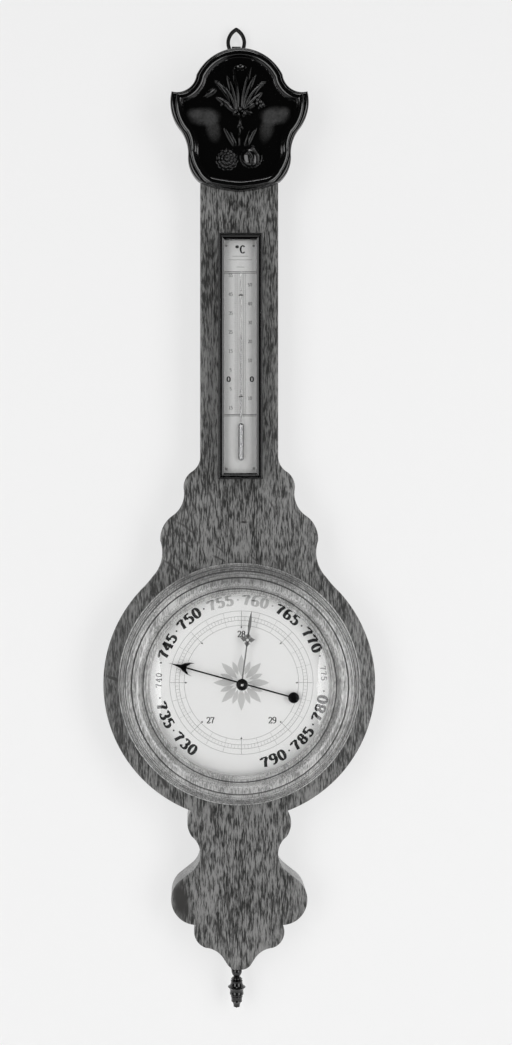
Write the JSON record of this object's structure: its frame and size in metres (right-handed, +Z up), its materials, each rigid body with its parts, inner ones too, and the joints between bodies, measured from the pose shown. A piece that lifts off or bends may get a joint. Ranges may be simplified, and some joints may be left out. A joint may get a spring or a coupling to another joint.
{
  "type": "banjo barometer",
  "caption": "Wall-hung wheel barometer in a banjo-shaped wooden case, with a carved crest, a thermometer on the trunk, a round dial with two hands and a turned drop below.",
  "frame": {"origin": "on the wall plane, at the back of the case, behind the centre of the round board", "axes": "+Z up along the case, +Y from the room into the wall, +X to the right seen from the front"},
  "size_m": [0.2722, 0.0555, 0.9981],
  "materials": {
    "oiled_wood": "oiled, vertical grain",
    "cover_wood": "planed, unfinished",
    "ebonised_wood": "ebonised and polished",
    "turned_wood": "turned and waxed",
    "steel_screws": "bright",
    "blued_steel": "blackened",
    "black_iron": "blackened",
    "brass": "lacquered",
    "hand_brass": "bright",
    "dark_knob": "blackened",
    "glass": "clear",
    "glass_weight": "clear",
    "mercury": "liquid",
    "silk": "twisted silk",
    "dial_card": "matt white",
    "scale_card": "matt white"
  },
  "bodies": {
    "case": {"front_board": "oiled_wood", "back_board": "oiled_wood", "back_cover": "cover_wood", "back_cover_screws": "steel_screws", "pediment": "ebonised_wood", "pediment_screws": "steel_screws", "hanger_plate": "black_iron", "hanger_screws": "steel_screws", "finial": "ebonised_wood", "bezel": "turned_wood", "bezel_dowels": "turned_wood", "dial_glass": "glass", "glass_retainer": "turned_wood", "dial_plate": "dial_card", "dial_pins": "brass", "bearing_plate": "brass", "bearing_plate_screws": "steel_screws", "bridge": "brass", "bridge_screws": "steel_screws", "barometer_tube": "glass", "mercury_column": "mercury", "cistern_mercury": "mercury", "tube_blocks": "cover_wood", "tube_straps": "brass", "strap_pins": "brass", "thermometer_frame": "ebonised_wood", "thermometer_glass": "glass", "thermometer_spacers": "ebonised_wood", "thermometer_scale": "scale_card", "scale_pins": "brass", "thermometer_tube": "glass", "thermometer_mercury": "mercury", "tube_ties": "black_iron"},
    "ring": {"hanging_ring": "black_iron"},
    "index": {"index_hand": "blued_steel", "index_collet": "brass", "arbor": "steel_screws", "pulley": "brass"},
    "set_pointer": {"set_hand": "hand_brass", "set_knob": "dark_knob", "knob_cap": "hand_brass", "set_washer": "brass"},
    "float": {"float": "glass_weight", "float_thread": "silk"},
    "counterweight": {"counterweight": "glass_weight", "counterweight_thread": "silk"}
  },
  "joints": [
    {"name": "index_turn", "type": "hinge", "parent": "case", "child": "index", "pos_m": [0.002, -0.03, 0.0015], "axis": [0, 1, 0], "range_deg": [-61, 209]},
    {"name": "float_rise", "type": "slide", "parent": "case", "child": "float", "axis": [0, 0, 1], "range_m": [-0.0213, 0.0063], "deforming": ["float_thread", "cistern_mercury"]},
    {"name": "counterweight_rise", "type": "slide", "parent": "case", "child": "counterweight", "axis": [0, 0, 1], "range_m": [-0.0063, 0.0213], "deforming": ["counterweight_thread"]},
    {"name": "set_hand_turn", "type": "hinge", "parent": "case", "child": "set_pointer", "pos_m": [0.002, -0.045, 0.0015], "axis": [0, 1, 0], "continuous": true},
    {"name": "ring_swing", "type": "hinge", "parent": "case", "child": "ring", "pos_m": [-0.002, -0.0043, 0.644], "axis": [1, 0, 0], "range_deg": [0, 110]}
  ],
  "couplings": [
    {"joint": "float_rise", "follows": "index_turn", "m_per_rad": -0.0058},
    {"joint": "counterweight_rise", "follows": "index_turn", "m_per_rad": 0.0058}
  ]
}
